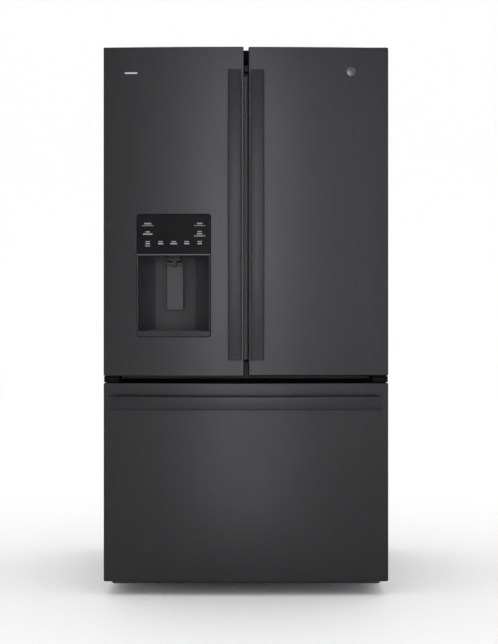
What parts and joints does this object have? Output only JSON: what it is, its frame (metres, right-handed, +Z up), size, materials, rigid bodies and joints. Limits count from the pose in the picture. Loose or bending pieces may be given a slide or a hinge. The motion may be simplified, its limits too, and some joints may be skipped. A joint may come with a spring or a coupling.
{
  "type": "french door refrigerator",
  "caption": "French door refrigerator with bowed fronts, an ice and water dispenser in the left door and a bottom freezer drawer, on leveling legs and rollers.",
  "frame": {"origin": "on the floor, under the middle of the whole object with doors and drawer shut", "axes": "+Z up, front faces -Y, +X to the right as seen by someone facing the front"},
  "size_m": [0.908, 0.904, 1.775],
  "materials": {
    "black_stainless": "satin",
    "handle_steel": "satin",
    "case_paint": "satin",
    "galvanized_steel": "satin",
    "white_liner": "satin",
    "foam": "matte",
    "clear_plastic": "gloss",
    "shelf_glass": "gloss",
    "black_plastic": "matte",
    "grey_plastic": "satin",
    "black_gloss": "gloss",
    "seal_rubber": "matte",
    "compressor_enamel": "satin",
    "coil_metal": "satin"
  },
  "bodies": {
    "cabinet": {"cabinet_wrapper": "case_paint", "rear_panel": "galvanized_steel", "cabinet_foam": "foam", "fresh_food_liner": "white_liner", "freezer_liner": "white_liner", "front_rails": "case_paint", "base_frame": "galvanized_steel", "base_grille": "black_plastic", "compressor_cover": "galvanized_steel", "rear_inlets": "black_plastic", "compressor": "compressor_enamel", "condenser_coil": "coil_metal", "fan_bracket": "grey_plastic", "evaporator_coil": "coil_metal", "evaporator_cover": "white_liner", "air_duct_cover": "white_liner", "top_hinges": "galvanized_steel", "hinge_covers": "grey_plastic", "middle_hinges": "case_paint", "mullion_guide": "grey_plastic", "glass_shelves": "shelf_glass", "shelf_frames": "white_liner", "shelf_tracks": "galvanized_steel", "filter_housing": "white_liner", "freezer_rails": "galvanized_steel"},
    "left_door": {"left_door_skin": "black_stainless", "left_door_core": "foam", "left_door_liner": "white_liner", "left_door_gasket": "seal_rubber", "left_door_bins": "clear_plastic", "left_handle": "handle_steel", "dispenser_well": "grey_plastic", "control_panel": "black_gloss", "dispenser_spout": "grey_plastic", "ice_box": "white_liner"},
    "right_door": {"right_door_skin": "black_stainless", "right_door_core": "foam", "right_door_liner": "white_liner", "right_door_gasket": "seal_rubber", "right_door_bins": "clear_plastic", "right_handle": "handle_steel"},
    "freezer_drawer": {"drawer_skin": "black_stainless", "drawer_core": "foam", "drawer_liner": "white_liner", "drawer_gasket": "seal_rubber", "freezer_handle": "handle_steel", "drawer_rails": "galvanized_steel", "lower_basket": "clear_plastic"},
    "folding_mullion": {"mullion_bar": "grey_plastic"},
    "paddle": {"dispenser_paddle": "grey_plastic"},
    "left_crisper": {"crisper_left": "clear_plastic"},
    "right_crisper": {"crisper_right": "clear_plastic"},
    "middle_slides": {"slide_members": "galvanized_steel"},
    "top_basket": {"upper_basket": "clear_plastic"},
    "filter": {"water_filter": "white_liner"},
    "left_leg": {"leveling_leg_left": "black_plastic"},
    "right_leg": {"leveling_leg_right": "black_plastic"},
    "rollers": {"rear_rollers": "black_plastic"},
    "machine_fan": {"condenser_fan": "black_plastic"},
    "cold_fan": {"evaporator_fan": "black_plastic"}
  },
  "joints": [
    {"name": "left_door_hinge", "type": "hinge", "parent": "cabinet", "child": "left_door", "pos_m": [-0.44, -0.33, 1.224], "axis": [0, 0, -1], "range_deg": [0, 120]},
    {"name": "right_door_hinge", "type": "hinge", "parent": "cabinet", "child": "right_door", "pos_m": [0.44, -0.33, 1.224], "axis": [0, 0, 1], "range_deg": [0, 120]},
    {"name": "freezer_drawer_slide", "type": "slide", "parent": "cabinet", "child": "freezer_drawer", "axis": [0, -1, 0], "range_m": [0, 0.45]},
    {"name": "mullion_fold", "type": "hinge", "parent": "left_door", "child": "folding_mullion", "pos_m": [-0.058, -0.274, 1.211], "axis": [0, 0, 1], "range_deg": [0, 90.5]},
    {"name": "middle_slides_slide", "type": "slide", "parent": "cabinet", "child": "middle_slides", "axis": [0, -1, 0], "range_m": [0, 0.2251]},
    {"name": "top_basket_slide", "type": "slide", "parent": "cabinet", "child": "top_basket", "axis": [0, -1, 0], "range_m": [0, 0.2701]},
    {"name": "left_crisper_slide", "type": "slide", "parent": "cabinet", "child": "left_crisper", "axis": [0, -1, 0], "range_m": [0, 0.2935]},
    {"name": "right_crisper_slide", "type": "slide", "parent": "cabinet", "child": "right_crisper", "axis": [0, -1, 0], "range_m": [0, 0.2935]},
    {"name": "paddle_press", "type": "hinge", "parent": "left_door", "child": "paddle", "pos_m": [-0.22985, -0.306, 1.055], "axis": [1, 0, 0], "range_deg": [0, 4], "stiffness_Nm_per_rad": 0.6},
    {"name": "filter_twist", "type": "hinge", "parent": "cabinet", "child": "filter", "pos_m": [0.348, -0.066, 1.664], "axis": [0, 1, 0], "range_deg": [0, 90]},
    {"name": "left_leg_screw", "type": "hinge", "parent": "cabinet", "child": "left_leg", "pos_m": [-0.43, -0.17, 0.0305], "axis": [0, 0, 1], "continuous": true},
    {"name": "right_leg_screw", "type": "hinge", "parent": "cabinet", "child": "right_leg", "pos_m": [0.43, -0.17, 0.0305], "axis": [0, 0, 1], "continuous": true},
    {"name": "roller_spin", "type": "hinge", "parent": "cabinet", "child": "rollers", "pos_m": [0, 0.4, 0.021], "axis": [1, 0, 0], "continuous": true},
    {"name": "machine_fan_spin", "type": "hinge", "parent": "cabinet", "child": "machine_fan", "pos_m": [-0.06, 0.325, 0.155], "axis": [1, 0, 0], "continuous": true},
    {"name": "cold_fan_spin", "type": "hinge", "parent": "cabinet", "child": "cold_fan", "pos_m": [0, 0.338, 0.598], "axis": [0, 1, 0], "continuous": true}
  ],
  "couplings": [
    {"joint": "mullion_fold", "follows": "left_door_hinge", "ratio": 0.75},
    {"joint": "left_crisper_slide", "follows": "left_door_hinge", "m_per_rad": 0.14},
    {"joint": "right_crisper_slide", "follows": "right_door_hinge", "m_per_rad": 0.14},
    {"joint": "middle_slides_slide", "follows": "freezer_drawer_slide", "ratio": 0.5},
    {"joint": "top_basket_slide", "follows": "freezer_drawer_slide", "ratio": 0.6}
  ]
}
